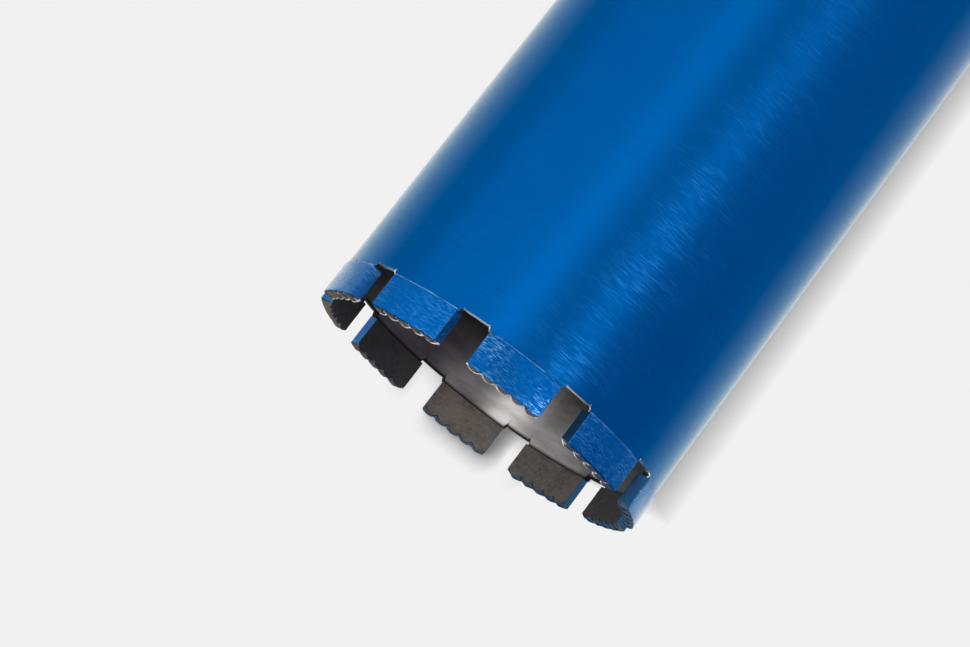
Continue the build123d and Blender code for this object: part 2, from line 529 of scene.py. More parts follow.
def tube_material():
    made, tree, shader = new_material("lacquered_tube")
    marks = noise(tree, MARK_SIZE, detail=2.0, roughness=0.6)
    patches = noise(tree, PATCH_SIZE, detail=2.0)
    reach = combine(tree, "MULTIPLY", ranged(tree, patches, *PATCH_RANGE), mask(tree, "rubbed_and_glint"))
    mark = combine(tree, "MULTIPLY", ranged(tree, marks, *MARK_RANGE), reach)
    lacquer = blend_colours(tree, mark, BLUE, BLUE_MARK)
    scale = noise(tree, SCALE_SIZE, detail=4.0)
    bare = blend_colours(tree, ranged(tree, scale, *SCALE_RANGE), STEEL, STEEL_DULL)
    burnt_and_shaded, painted = mask(tree, "burnt_and_shaded"), mask(tree, "paint")
    # Darkening by heat tint and by painted shade, from the tube's masks.
    bare = blend_colours(tree, burnt_and_shaded, bare, BURNT_AND_SHADED)
    shine = blend_values(tree, mark, LACQUER_ROUGH, MARK_ROUGH)
    feed(tree, shader.inputs["Base Color"], blend_colours(tree, painted, bare, lacquer))
    feed(tree, shader.inputs["Roughness"], blend_values(tree, painted, BARE_ROUGH, shine))
    feed(tree, shader.inputs["Metallic"], ranged(tree, burnt_and_shaded, BURNT_AND_SHADED_THICK, 1.0, 1.0, BURNT_AND_SHADED_METAL))
    shader.inputs["Specular IOR Level"].default_value = TUBE_SPECULAR
    shader.inputs["Specular Tint"].default_value = (*TUBE_EDGE_TINT, 1.0)
    shader.inputs["Anisotropic"].default_value = BRUSHED
    shader.inputs["Anisotropic Rotation"].default_value = ROUND_THE_TUBE
    clear_coat(tree, shader, painted)
    bump(tree, shader, combine(tree, "MULTIPLY", marks, reach), MARK_RELIEF)
    return made


TUBE = tube_material()

# %% [markdown]
# ## Water slots
# Ten shallow slots between the segments let the water out. They could be cut with a Boolean, which leaves
# long thin faces that shade badly. Here the rim's height is a function of the angle, so that the slots are
# part of the surface. Its columns are close together at the sides of the slots and far apart elsewhere.

# %% Water slots
SLOT_ROOT = 4.4 * MM
SLOT_DEPTH = 1.2 * MM
SLOT_FLARE = 0.7 * MM
NOTCH_DEPTH = 0.45 * MM
NOTCH_WIDTH = 0.34 * MM
NOTCH_SHARES = (0.3, 1.3)
SIDE_FROM, SIDE_TO = 3.6 * MM, 5.5 * MM
ROOT_COLUMNS, SIDE_COLUMNS, TOOTH_COLUMNS = 5, 24, 13


def slot_offset(angle):
    """Signed angle from the nearest slot's middle."""
    first = SEGMENT_FRONT + PITCH / 2
    return (angle - first + PITCH / 2) % PITCH - PITCH / 2


def rim_height(radius, angle):
    """The rim less the slots. A slot's side rises evenly over the flare. A small notch that the weld
    left deepens each root corner, by a different amount at each one."""
    away = radius * np.sin(np.abs(slot_offset(angle)))
    cut = SLOT_DEPTH * np.clip((SLOT_ROOT + SLOT_FLARE - away) / SLOT_FLARE, 0, 1)
    corners = 2 * len(SEGMENTS)
    corner = np.floor((angle - SEGMENT_FRONT) / (PITCH / 2)).astype(int) % corners
    sizes = np.random.default_rng(SEEDS["notch"]).uniform(*NOTCH_SHARES, corners)[corner]
    notch = NOTCH_DEPTH * sizes * np.exp(-(((away - SLOT_ROOT) / NOTCH_WIDTH) ** 2))
    return RIM - cut - notch


def slot_angles():
    """Angles of the columns: fine at the slots' sides, coarse along the teeth and the roots."""
    root = np.linspace(0, SIDE_FROM, ROOT_COLUMNS)[:-1]
    side = np.linspace(SIDE_FROM, SIDE_TO, SIDE_COLUMNS)[:-1]
    tooth = np.linspace(SIDE_TO, PITCH / 2 * BARREL_OUTSIDE, TOOTH_COLUMNS)
    half = np.concatenate([root, side, tooth]) / BARREL_OUTSIDE
    one = np.concatenate([-half[:0:-1], half[:-1]])
    middles = SEGMENT_FRONT + PITCH * (np.arange(len(SEGMENTS)) + 0.5)
    return (middles[:, None] + one[None, :]).ravel()


print("columns round the tube", len(slot_angles()))

# %% [markdown]
# ## The tube
# The tube is one closed profile carried round the axis: up the inner wall, over the rim and down the
# outer wall. A Solidify modifier would give the wall too, but not its rounded rim. Only the rim's height
# changes with the angle, so the upper rows are mixed between a level line and the rim's own line.

# %% The tube's surface
EDGE = 0.12 * MM
LEVEL_ROW = 2.4 * MM
FINE_REACH = 30 * MM
COARSE_ROWS, FINE_ROWS = 14, 16
RIM_SHARES = np.append(np.linspace(0, 0.93, 8), [0.97, 1.0])
RIM_BEND = ((0.3, 0.7), (1.0, 1.0))


def tube_rows():
    """Angles, radii and heights of the tube's points, in rows from the inner foot to the outer one."""
    angles = slot_angles()[None, :]
    level = RIM - LEVEL_ROW
    coarse = np.linspace(BARREL_BOTTOM, level - FINE_REACH, COARSE_ROWS)[:-1]
    climb = np.append(coarse, np.linspace(level - FINE_REACH, level, FINE_ROWS)[:-1])
    rows = []
    for radius, inwards in ((BARREL_INSIDE, 1), (BARREL_OUTSIDE, -1)):
        top = rim_height(radius, angles) - EDGE
        walls = [np.full_like(top, z) for z in climb] + [level + t * (top - level) for t in RIM_SHARES]
        wall = [(np.full_like(top, radius), z) for z in walls]
        for out, up in RIM_BEND:
            wall.append((np.full_like(top, radius + inwards * out * EDGE), top + up * EDGE))
        rows += wall if inwards == 1 else wall[::-1]
    radii, heights = (np.concatenate(part) for part in zip(*rows))
    return angles, radii, heights


# %% [markdown]
# The spray covers the outside. Inside, the welds' heat darkened the rim, and painted shade darkens the
# same band under the segments, the wall deep in the tube, and the wall along one side, away from its
# highlight. The rim's land is burnt under the segments and all along the far half. The turning marks show
# most in one streak. Painting this by hand would take a map of the tube. A few formulas on the points do
# it, and they follow the tube if a size changes.

# %% The tube's masks
# Painted shade deep in the tube, and along one side of the inner wall away from its highlight. The band
# under the segments is heat tint with painted shade.
DEEP_SHADE, DEEP_FROM, DEEP_RUN = 0.88, 7 * MM, 18 * MM
SIDE_SHADE, SIDE_SHADE_END, SIDE_SHADE_FADE = 0.50, math.radians(97), math.radians(22)
HEAT_AND_SHADE, HEAT_AND_SHADE_REACH, HEAT_AND_SHADE_FADE = 0.9, 1.3 * MM, 1.0 * MM
RIM_LAND = 0.3 * MM
TOOTH_FADE = 0.2 * MM
RUBBED_SIDE, RUBBED_WIDTH, RUBBED_LEAST = math.radians(-101), math.radians(12), 0.12
WORN_SHARE, WORN_LEAST, WORN_DEPTH, WORN_RUN = 0.6, 0.45, 90 * MM, 150 * MM


def tube_masks(angles, radii, heights):
    """Lacquer from just below the rim on the outside. Heat tint with painted shade under the segments,
    painted shade deep in the tube and painted shade along one side each darken what the others leave.
    Rubbing is a bell round one angle, and it fades away from the rim."""
    paint = np.zeros(radii.shape)
    paint[len(radii) // 2 + 2 :] = 1.0
    below = rim_height(radii, angles) - heights
    bore = radii < BARREL_INSIDE + EDGE / 2
    # Heat tint with painted shade under the segments, then painted shade deep in the tube and along one
    # side.
    heat_and_shade = HEAT_AND_SHADE * np.clip((HEAT_AND_SHADE_REACH - below) / HEAT_AND_SHADE_FADE, 0, 1)
    deep = DEEP_SHADE * ramp(below, DEEP_FROM, DEEP_RUN)
    side = SIDE_SHADE * np.clip((SIDE_SHADE_END - angles) / SIDE_SHADE_FADE, 0, 1) * (angles > 0)
    burnt_and_shaded = bore * (1 - (1 - heat_and_shade) * (1 - deep) * (1 - side))
    away = radii * np.sin(np.abs(slot_offset(angles)))
    tooth = ramp(away, SLOT_ROOT, TOOTH_FADE)
    far_half = (angles > 0) * (angles < math.pi)
    land = (below < RIM_LAND) * (1 - paint)
    burnt_and_shaded = np.maximum(burnt_and_shaded, land * np.maximum(tooth, far_half))
    turned = (angles - RUBBED_SIDE + math.pi) % (2 * math.pi) - math.pi
    rubbed_and_glint = RUBBED_LEAST + (1 - RUBBED_LEAST) * np.exp(-((turned / RUBBED_WIDTH) ** 2))
    worn = np.clip(WORN_SHARE + (heights - RIM + WORN_DEPTH) / WORN_RUN, WORN_LEAST, 1.0)
    return {"paint": paint, "burnt_and_shaded": burnt_and_shaded, "rubbed_and_glint": rubbed_and_glint * worn}


angles, radii, heights = tube_rows()
tube = surface("barrel_tube", round_axis(radii, angles, heights), tube_masks(angles, radii, heights))
finish_piece(tube, TUBE, "barrel_paint", "barrel")

# %% [markdown]
# ## The segments
# A segment is a block of metal powder and diamond grit, pressed and sintered. A cube with a Bevel modifier
# could stand for it, but the bevel would trip over its ridges. So it is the skin of a lattice: six grids
# of points that share their edges, bent to the bit's two radii.

# %% Lattice skin
def block_skin(counts):
    """Integer points (i, j, k) on the skin of a lattice with the given counts, and outward quads."""
    found, faces = [], []
    for axis in range(3):
        a, b = [n for n in range(3) if n != axis]
        u, v = np.meshgrid(np.arange(counts[a]), np.arange(counts[b]), indexing="ij")
        for end in (0, counts[axis]):
            corners = []
            for du, dv in ((0, 0), (1, 0), (1, 1), (0, 1)):
                corner = np.zeros((u.size, 3), int)
                corner[:, axis] = end
                corner[:, a] = (u + du).ravel()
                corner[:, b] = (v + dv).ravel()
                corners.append(corner)
            outward = (end > 0) == (axis != 1)
            faces.append(np.stack(corners if outward else corners[::-1], 1))
    faces = np.concatenate(faces)
    flat = faces.reshape(-1, 3)
    key = (flat[:, 0] * (counts[1] + 1) + flat[:, 1]) * (counts[2] + 1) + flat[:, 2]
    _, first, where = np.unique(key, return_index=True, return_inverse=True)
    return flat[first], where.reshape(-1, 4)


def spread(count, length, edge):
    """count + 1 places from 0 to length, with two extra close to each end for its rounded edge."""
    middle = np.linspace(edge, length - edge, count - 3)
    return np.concatenate([[0, 0.35 * edge], middle, [length - 0.35 * edge, length]])


print("skin of a cube", len(block_skin((1, 1, 1))[0]), "points")

# %% [markdown]
# ## The cutting end
# Each segment is pressed with five ridges, so that it bites at once. They run out towards the outer face.
# Sculpting fifty ridges would be slow and uneven. A height that depends on the place along the block and
# across it gives them all, and each is worn down by its own amount.

# %% The cutting end
CREST_COUNT = 5
CREST_RADIUS = 2.6 * MM
CREST_END_FLAT = 0.5 * MM
CREST_RISE = 0.25 * MM
CREST_CHAMFER = 1.4 / 3.5
CREST_OUTSIDE = 0.15 * MM
CREST_SOFT, CREST_LIFT = 0.18 * MM, 0.04 * MM
VALLEY_INSIDE = 1.5 * MM
VALLEY_OUTSIDE = 0.95 * MM
CREST_PITCH = (SEGMENT_LENGTH - 2 * CREST_END_FLAT) / CREST_COUNT
WEAR_ENDS, WEAR_SPREAD, WEAR_MOST = 0.16, 0.06, 0.4


def cutting_end(along, share, worn):
    """Height of the cutting end, where share is 0 at the inner face and 1 at the outer one.

    Round ridges rise outwards to a chamfer that takes them down to the outer face. The valleys between
    them slope inwards. worn lowers each ridge by its own amount, and soft corners are a root of squares.
    """
    valley = -VALLEY_INSIDE + share * (VALLEY_INSIDE - VALLEY_OUTSIDE)
    place = along / CREST_PITCH + (CREST_COUNT - 1) / 2
    ridge = np.clip(np.round(place), 0, CREST_COUNT - 1)
    away = (place - ridge) * CREST_PITCH
    rise = CREST_RISE * (share / (1 - CREST_CHAMFER) - 1)
    ball = np.sqrt(np.maximum(CREST_RADIUS**2 - away**2, 0))
    crest = rise - worn[ridge.astype(int)] - CREST_RADIUS + ball
    fall = VALLEY_OUTSIDE - CREST_OUTSIDE
    chamfer = fall * (1 - CREST_CHAMFER - share) / CREST_CHAMFER
    lower = 0.5 * (crest + chamfer - np.sqrt((crest - chamfer) ** 2 + CREST_SOFT**2)) + CREST_LIFT
    return CROWN_TOP + np.minimum(np.maximum(valley, lower), 0)


def ridge_wear(number):
    """How far each of the five ridges is worn down, which drifts from one end to the other."""
    rng = np.random.default_rng(SEEDS["wear"] + number)
    ends = rng.uniform(0.0, WEAR_ENDS, 2)
    drift = np.linspace(ends[0], ends[1], CREST_COUNT) + rng.normal(0, WEAR_SPREAD, CREST_COUNT)
    return np.clip(drift, 0, WEAR_MOST) * MM


print("wear of the first segment's ridges", np.round(ridge_wear(0) / MM, 2))

# %% [markdown]
# ## What covers a segment
# The spray came from outside and a little from one side. It covers the outer faces, thins out on the ends
# and reached some cutting ends more than others. Soot with painted shade lies on the inner faces, each by
# its segment's own amount, and in the valleys, which are darker than the ridge tops. Painted glints show
# towards the ends of the outer faces. Painted textures would need a map for each segment. Masks worked out
# from a point's place need none.

# %% The segments' masks
SPRAY_SIDE = math.radians(150)
SPRAY_MEAN, SPRAY_SWING = 0.5, 0.6
THIN_END, FULL_END, FULL_END_INSIDE = 0.55, 1.0, 0.8
SPRAYED_FROM, SPRAYED_RUN = -0.66 * MM, 0.3 * MM
SPRAYED_EDGE = 0.9
RUN_DOWN, RUN_DOWN_SHARE = 0.4 * MM, 0.6
HIGH_INSIDE, HIGH_MORE = 0.5, 0.4
RIDGE_FROM, RIDGE_RUN = -0.75 * MM, 0.5 * MM
SPRAY_HIDES, RIDGE_CLEARS, END_DARK = 0.6, 0.85, 0.7
ENDS_FROM, ENDS_RUN, MIDDLE_GLINT = 0.15 * SEGMENT_LENGTH, SEGMENT_LENGTH / 3, 0.3
# Per segment, how strongly painted glints show on the outer face.
SEGMENT_GLINT = (1.0, 0.2, 1.0, 0.4, 0.5, 0.3, 0.5, 0.4, 1.0, 0.5)
# Per segment, how dark its inner face is: soot with painted shade.
SEGMENT_SOOT_AND_SHADE = (0.5, 0.5, 0.5, 0.8, 0.85, 0.0, 0.28, 0.76, 0.5, 0.5)
UPWARDS = np.array([0.0, 0.0, 1.0])


def segment_frame(number):
    """Unit vectors of a segment: outwards, and along it anticlockwise."""
    a = SEGMENT_FRONT + number * PITCH
    return np.array([math.cos(a), math.sin(a), 0]), np.array([-math.sin(a), math.cos(a), 0])


def at_segment(number, x, radius, z):
    """Points at x along a segment and at a radius from the bit's axis. Works on whole arrays."""
    outwards, sideways = segment_frame(number)
    distance = np.sqrt(radius**2 - x**2)
    return distance[:, None] * outwards + x[:, None] * sideways + z[:, None] * UPWARDS


def crown_paint(number):
    """Share of lacquer that reached the cutting end: most on the side that the spray came from."""
    lean = SEGMENT_FRONT + number * PITCH - SPRAY_SIDE
    return min(max(SPRAY_MEAN + SPRAY_SWING * math.cos(lean), 0.0), 1.0)


def segment_masks(number, on, x, share, level, below):
    """Masks from a point's face, its share of the thickness, and its heights.

    Lacquer fills the outer face, most of the clockwise end and half of the other one. On the cutting end
    it lies along the outer edge and on the high places, from which it ran a little way down inside. Soot
    darkens the anticlockwise ends in front. Soot with painted shade darkens the valleys and the inner faces.
    Painted glints show at the ends.
    """
    sprayed = crown_paint(number)
    high = ramp(level, SPRAYED_FROM, SPRAYED_RUN) * sprayed
    full = FULL_END_INSIDE + (FULL_END - FULL_END_INSIDE) * share
    paint = np.where(on["outer"], 1.0, on["anticlockwise"] * THIN_END + on["clockwise"] * full)
    edge = (share - SPRAYED_EDGE) / (1 - SPRAYED_EDGE)
    paint = np.maximum(paint, on["crown"] * np.clip(edge, high * (HIGH_INSIDE + HIGH_MORE * share), 1))
    paint = np.maximum(paint, on["inner"] * np.clip(1 - below / RUN_DOWN, 0, 1) * RUN_DOWN_SHARE * high)
    # Valleys darker than the ridge tops: soot with painted shade.
    valleys = (1 - SPRAY_HIDES * sprayed) * (1 - RIDGE_CLEARS * ramp(level, RIDGE_FROM, RIDGE_RUN))
    in_front = max(-segment_frame(number)[0][1], 0.0)
    dark = np.maximum(on["crown"] * valleys, on["anticlockwise"] * END_DARK * in_front**2)
    # Each inner face darkened by its segment's own amount: soot with painted shade.
    dark = np.maximum(dark, on["inner"] * SEGMENT_SOOT_AND_SHADE[number % len(SEGMENT_SOOT_AND_SHADE)])
    # Painted glints, strongest towards the ends.
    glint_at_ends = MIDDLE_GLINT + (1 - MIDDLE_GLINT) * ramp(np.abs(x), ENDS_FROM, ENDS_RUN)
    rubbed_and_glint = SEGMENT_GLINT[number % len(SEGMENT_GLINT)] * glint_at_ends
    return {"paint": paint, "dark": dark, "rubbed_and_glint": rubbed_and_glint, "matt": on["clockwise"]}


print("lacquer on the cutting ends", [round(crown_paint(n), 2) for n in range(len(SEGMENTS))])

# %% [markdown]
# ## The segments' surface
# Pressed blocks have soft edges and faintly uneven faces. Every edge is rounded by one rule: a point is
# pulled onto a small ball round the nearest point of the block shrunk by the ball's radius. Relief that is
# smaller than the mesh is left to the material.

# %% The segments' surface
SEGMENT_EDGE = 0.16 * MM
LATTICE = (120, 18, 40)
DENT_SIZE, DENT_DEPTH = (2.2 * MM, 0.6 * MM), 0.012 * MM
GRAIN_SIZE, GRAIN_INSIDE, GRAIN_CROWN = (0.8 * MM,) * 3, 0.03 * MM, 0.05 * MM
TOUCHING = 1e-9


def round_edges(position, lowest, highest):
    """Points that stand off from the shrunk block along two or three axes go onto the ball."""
    core = np.clip(position, lowest, highest)
    pull = position - core
    length = np.linalg.norm(pull, axis=1, keepdims=True)
    edge = np.count_nonzero(np.abs(pull) > TOUCHING, axis=1) > 1
    rounded = core + pull / np.maximum(length, TOUCHING) * SEGMENT_EDGE
    return np.where(edge[:, None], rounded, position)


def segment_surface(name, number):
    """x runs along the block and depth across it from the inner face. Both radii are arcs round the
    bit's axis, and the cutting end is the top of the lattice."""
    points, quads = block_skin(LATTICE)
    thickness = BIT_RADIUS - SEGMENT_INSIDE
    x = spread(LATTICE[0], SEGMENT_LENGTH, SEGMENT_EDGE)[points[:, 0]] - SEGMENT_LENGTH / 2
    depth = spread(LATTICE[1], thickness, SEGMENT_EDGE)[points[:, 1]]
    along = np.arcsin(x / (SEGMENT_INSIDE + depth)) * SEGMENT_INSIDE
    top = cutting_end(along, depth / thickness, ridge_wear(number))
    rise = spread(LATTICE[2], 1.0, SEGMENT_EDGE / (CROWN_TOP - RIM))[points[:, 2]]
    lowest = np.array([-SEGMENT_LENGTH / 2, 0, RIM]) + SEGMENT_EDGE
    highest = np.stack([0 * x + SEGMENT_LENGTH / 2, 0 * x + thickness, top], 1) - SEGMENT_EDGE
    x, depth, z = round_edges(np.stack([x, depth, RIM + rise * (top - RIM)], 1), lowest, highest).T
    on = {
        "outer": points[:, 1] == LATTICE[1],
        "inner": points[:, 1] == 0,
        "crown": points[:, 2] == LATTICE[2],
        "anticlockwise": x > SEGMENT_LENGTH / 2 - SEGMENT_EDGE / 2,
        "clockwise": x < -SEGMENT_LENGTH / 2 + SEGMENT_EDGE / 2,
    }
    dents = waves(DENT_SIZE, SEEDS["dents"] + number, x, z)
    grain = waves(GRAIN_SIZE, SEEDS["grain"] + number, x, depth, z)
    depth = depth + on["outer"] * DENT_DEPTH * dents + on["inner"] * GRAIN_INSIDE * grain
    z = z + on["crown"] * GRAIN_CROWN * grain
    share = np.clip(depth / thickness, 0, 1)
    masks = segment_masks(number, on, x, share, top - CROWN_TOP, top - z)
    return mesh_object(name, at_segment(number, x, SEGMENT_INSIDE + depth, z), quads, masks)


# %% [markdown]
# ## The segments' finish
# Sintered metal is dull, speckled and slightly brown, and grit shows in it. Where the lacquer is thin the
# metal looks through, and where it is full it is brushed, with painted glints on some brush streaks. Soot
# with painted shade darkens the valleys and inner faces. Two materials would need a hard line between
# them. One cover value decides instead, and noise breaks its edge.

# %% Segment finish
SINTER_DARK = (0.085, 0.072, 0.062)
SINTER_LIGHT = (0.205, 0.168, 0.138)
SINTER_EVEN = (0.195, 0.162, 0.134)
# Soot with painted shade, for the valleys and the inner faces.
SOOT_AND_SHADE = (0.030, 0.028, 0.028)
THIN_LACQUER = (0.020, 0.085, 0.190)
LACQUER = (0.0, 0.095, 0.340)
LACQUER_PALE = (0.004, 0.13, 0.42)
# A painted glint: a pale colour mixed into the lacquer where brush streaks would catch the light.
GLINT = (0.22, 0.50, 0.80)
SEGMENT_EDGE_TINT = (0.6, 0.92, 1.0)
COARSE_GRIT, FINE_GRIT = (1.4 * MM,) * 3, (0.25 * MM,) * 3
TINT_SIZE = (7 * MM, 7 * MM, 5 * MM)
BRUSH_SIZE = (1.7 * MM, 1.7 * MM, 0.20 * MM)
ROUGH_PATCH = (11 * MM, 11 * MM, 9 * MM)
GRIT_RANGE, TINT_RANGE = (0.3, 0.7), (0.4, 0.65)
ROUGH_RANGE, GLINT_RANGE, PALE_RANGE = (0.44, 0.58, 0.12, 1.0), (0.53, 0.64), (0.45, 0.70)
THIN_COVER, FULL_COVER, COAT_COVER = (0.15, 0.5), (0.55, 0.85), (0.6, 0.9)
SMOOTH_COVER, RELIEF_COVER, METAL_COVER = (0.2, 0.8), (0.3, 0.8), (0.1, 0.7, 0.2, 1.0)
SINTER_ROUGH, SMOOTH_ROUGH, BRUSHED_ROUGH = 0.6, 0.40, 0.20
MATT_METAL = 0.4
RAGGED = 0.10
SEGMENT_RELIEF = 0.045 * MM


def segment_material():
    """Sintered metal powder with grit, under whatever lacquer reached it."""
    made, tree, shader = new_material("sintered_segment")
    coarse = noise(tree, COARSE_GRIT, detail=5.0, roughness=0.6)
    fine = noise(tree, FINE_GRIT, detail=3.0)
    tint = noise(tree, TINT_SIZE, detail=2.0)
    sinter = blend_colours(tree, ranged(tree, coarse, *GRIT_RANGE), SINTER_DARK, SINTER_LIGHT)
    sinter = blend_colours(tree, ranged(tree, tint, *TINT_RANGE), sinter, SINTER_EVEN)
    sinter = blend_colours(tree, mask(tree, "dark"), sinter, SOOT_AND_SHADE)
    brush = noise(tree, BRUSH_SIZE, detail=2.0, roughness=0.6)
    patch = noise(tree, ROUGH_PATCH, detail=2.0)
    rough = ranged(tree, patch, *ROUGH_RANGE)
    # Painted glints in the lacquer's colour.
    glint = combine(tree, "MULTIPLY", ranged(tree, brush, *GLINT_RANGE), mask(tree, "rubbed_and_glint"))
    glint = combine(tree, "MULTIPLY", glint, rough)
    lacquer = blend_colours(tree, ranged(tree, brush, *PALE_RANGE), LACQUER, LACQUER_PALE)
    lacquer = blend_colours(tree, glint, lacquer, GLINT)
    matt_share = ranged(tree, mask(tree, "matt"), 0.0, 1.0, 1.0, MATT_METAL)
    cover = combine(tree, "ADD", mask(tree, "paint"), ranged(tree, coarse, *GRIT_RANGE, -RAGGED, RAGGED))
    thin = blend_colours(tree, ranged(tree, cover, *THIN_COVER), sinter, THIN_LACQUER)
    full = blend_colours(tree, ranged(tree, cover, *FULL_COVER), thin, lacquer)
    feed(tree, shader.inputs["Base Color"], full)
    shine = blend_values(tree, rough, SMOOTH_ROUGH, BRUSHED_ROUGH)
    shine = blend_values(tree, ranged(tree, cover, *SMOOTH_COVER), SINTER_ROUGH, shine)
    feed(tree, shader.inputs["Roughness"], shine)
    metal = combine(tree, "MULTIPLY", ranged(tree, cover, *METAL_COVER), matt_share)
    feed(tree, shader.inputs["Metallic"], metal)
    shader.inputs["Specular Tint"].default_value = (*SEGMENT_EDGE_TINT, 1.0)
    clear_coat(tree, shader, ranged(tree, cover, *COAT_COVER))
    brushed = combine(tree, "MULTIPLY", brush, rough)
    bump(tree, shader, blend_values(tree, ranged(tree, cover, *RELIEF_COVER), fine, brushed), SEGMENT_RELIEF)
    return made


SINTER = segment_material()
for number, name in enumerate(SEGMENTS):
    finish_piece(segment_surface(f"{name}_block", number), SINTER, "segment_metal", name)

# %% [markdown]
# ## Lips and flash
# Pressing and dressing leave a thin bright lip along the inner edge of each cutting end, thickest in the
# valleys, and squeeze flash out along both flanks of each ridge. A bevelled curve would do, but its
# thickness is awkward to vary. These are fine tubes whose circles are carried along a path with numpy.

# %% Tubes along paths
TIP, TIP_STEPS = 0.6, 2.6


def tubes(name, runs, sides=8, **masks):
    """Closed tubes in one mesh. Each run is (path, radius, reference): circles of that radius round each
    point of the path, square to its direction. reference is a direction that the path never follows.
    Both ends are drawn in and capped. masks are single numbers."""
    turn = np.linspace(0, 2 * math.pi, sides, endpoint=False)
    points, quads, caps, start = [], [], [], 0
    for path, radius, reference in runs:
        run = np.gradient(path, axis=0)
        run /= np.linalg.norm(run, axis=1, keepdims=True)
        side = np.cross(run, reference)
        side /= np.linalg.norm(side, axis=1, keepdims=True)
        up = np.cross(side, run)
        steps = np.arange(len(path))
        taper = np.minimum(1, (np.minimum(steps, steps[::-1]) + TIP) / TIP_STEPS)
        size = (radius * taper)[:, None, None]
        ring = np.cos(turn)[None, :, None] * side[:, None] + np.sin(turn)[None, :, None] * up[:, None]
        points.append((path[:, None] + size * ring).reshape(-1, 3))
        i, j = start + steps[:-1, None] * sides, np.arange(sides)[None, :]
        j2 = (j + 1) % sides
        quads.append(np.stack([i + j, i + j2, i + sides + j2, i + sides + j], -1).reshape(-1, 4))
        last = start + (len(path) - 1) * sides
        caps += [range(start, start + sides)[::-1], range(last, last + sides)]
        start += len(path) * sides
    points = np.concatenate(points)
    layers = {mask: np.full(len(points), value) for mask, value in masks.items()}
    return mesh_object(name, points, np.concatenate(quads), layers, caps)


# %% [markdown]
# ## Bare steel
# Some lips were dressed after the spray, and the burrs stand clear of it, so they are bright torn steel. A
# plain grey would look like plastic. Metal with a fine grain in its colour, gloss and relief looks torn.

# %% Bare steel
BARE_DARK, BARE_LIGHT = (0.66, 0.63, 0.60), (0.90, 0.88, 0.86)
BARE_METAL = 0.7
BARE_GRAIN, BARE_RELIEF = (0.5 * MM,) * 3, 0.03 * MM
BARE_TONES, BARE_SHINE = (0.35, 0.65), (0.3, 0.7, 0.32, 0.5)


def bare_material():
    made, tree, shader = new_material("bare_steel")
    grain = noise(tree, BARE_GRAIN, detail=2.0)
    colour = blend_colours(tree, ranged(tree, grain, *BARE_TONES), BARE_DARK, BARE_LIGHT)
    feed(tree, shader.inputs["Base Color"], colour)
    feed(tree, shader.inputs["Roughness"], ranged(tree, grain, *BARE_SHINE))
    shader.inputs["Metallic"].default_value = BARE_METAL
    bump(tree, shader, grain, BARE_RELIEF)
    return made


BARE = bare_material()

# %% Lips and flash
LIP, LIP_LIFT = 0.27 * MM, 0.32 * MM
LIP_POINTS, LIP_OUT, LIP_SINK = 280, 0.5, 0.3
LIP_THIN, LIP_THICKER, LIP_UNEVEN, LIP_WAVE = 0.9, 0.5, 0.2, (1.6 * MM,)
LIP_PAINT, LIP_DARK, POLISHED_BELOW = 0.45, 0.3, 0.6
FLASH, FLASH_PLACE = 0.30 * MM, 0.40
FLASH_REACH, FLASH_SIZES = (0.55, 0.95), (0.5, 1.25)
FLASH_POINTS, FLASH_LIFT, FLASH_START, FLASH_THINS = 24, 0.2, 1.1, 0.7


def inner_lip(number):
    """The run along the inner edge. It is thicker and stands higher in the valleys."""
    x = np.linspace(-0.5, 0.5, LIP_POINTS) * (SEGMENT_LENGTH - SEGMENT_EDGE)
    along = np.arcsin(x / SEGMENT_INSIDE) * SEGMENT_INSIDE
    edge = cutting_end(along, 0 * x, ridge_wear(number))
    deep = (CROWN_TOP - edge) / VALLEY_INSIDE
    z = edge - LIP_SINK * LIP + deep**2 * LIP_LIFT
    path = at_segment(number, x, SEGMENT_INSIDE + LIP_OUT * LIP, z)
    uneven = LIP_UNEVEN * waves(LIP_WAVE, SEEDS["lip"] + number, x)
    radius = LIP * (LIP_THIN + LIP_THICKER * deep**2 + uneven)
    return path, radius, segment_frame(number)[0]


def valley_flash(number):
    """Runs of metal squeezed out along both flanks of each ridge. Each goes from the inner edge towards
    the outer one, gets thinner on the way, and stops at a length of its own."""
    rng = np.random.default_rng(SEEDS["flash"] + number)
    runs = []
    for flank in range(2 * CREST_COUNT):
        share = np.linspace(0.0, rng.uniform(*FLASH_REACH), FLASH_POINTS)
        ridge = flank // 2 - (CREST_COUNT - 1) / 2
        along = (ridge + (FLASH_PLACE, -FLASH_PLACE)[flank % 2]) * CREST_PITCH + 0 * share
        z = cutting_end(along, share, ridge_wear(number)) + FLASH_LIFT * FLASH
        radius = SEGMENT_INSIDE + share * (BIT_RADIUS - SEGMENT_INSIDE)
        size = FLASH * (FLASH_START - FLASH_THINS * share) * rng.uniform(*FLASH_SIZES)
        runs.append((at_segment(number, along, radius, z), size, UPWARDS))
    return runs


for number, name in enumerate(SEGMENTS):
    sprayed = crown_paint(number)
    polished = segment_frame(number)[0][1] < 0 and sprayed < POLISHED_BELOW
    runs = [inner_lip(number)] + valley_flash(number)
    lip = tubes(f"{name}_lip", runs, paint=LIP_PAINT * sprayed, dark=LIP_DARK)
    finish_piece(lip, BARE if polished else SINTER, "segment_metal")

# %% [markdown]
# ## Weld seams
# A laser welds each segment to the rim. Outside it leaves a narrow rounded seam in the small step under
# the segment, and the lacquer covers it. Pale lengths on its crown are a painted highlight. Bump on the tube
# would stay flat in outline. The seam is a tube along the joint, and its thickness ripples as the melt
# froze.

# %% Weld seams
SEAM = 0.34 * MM
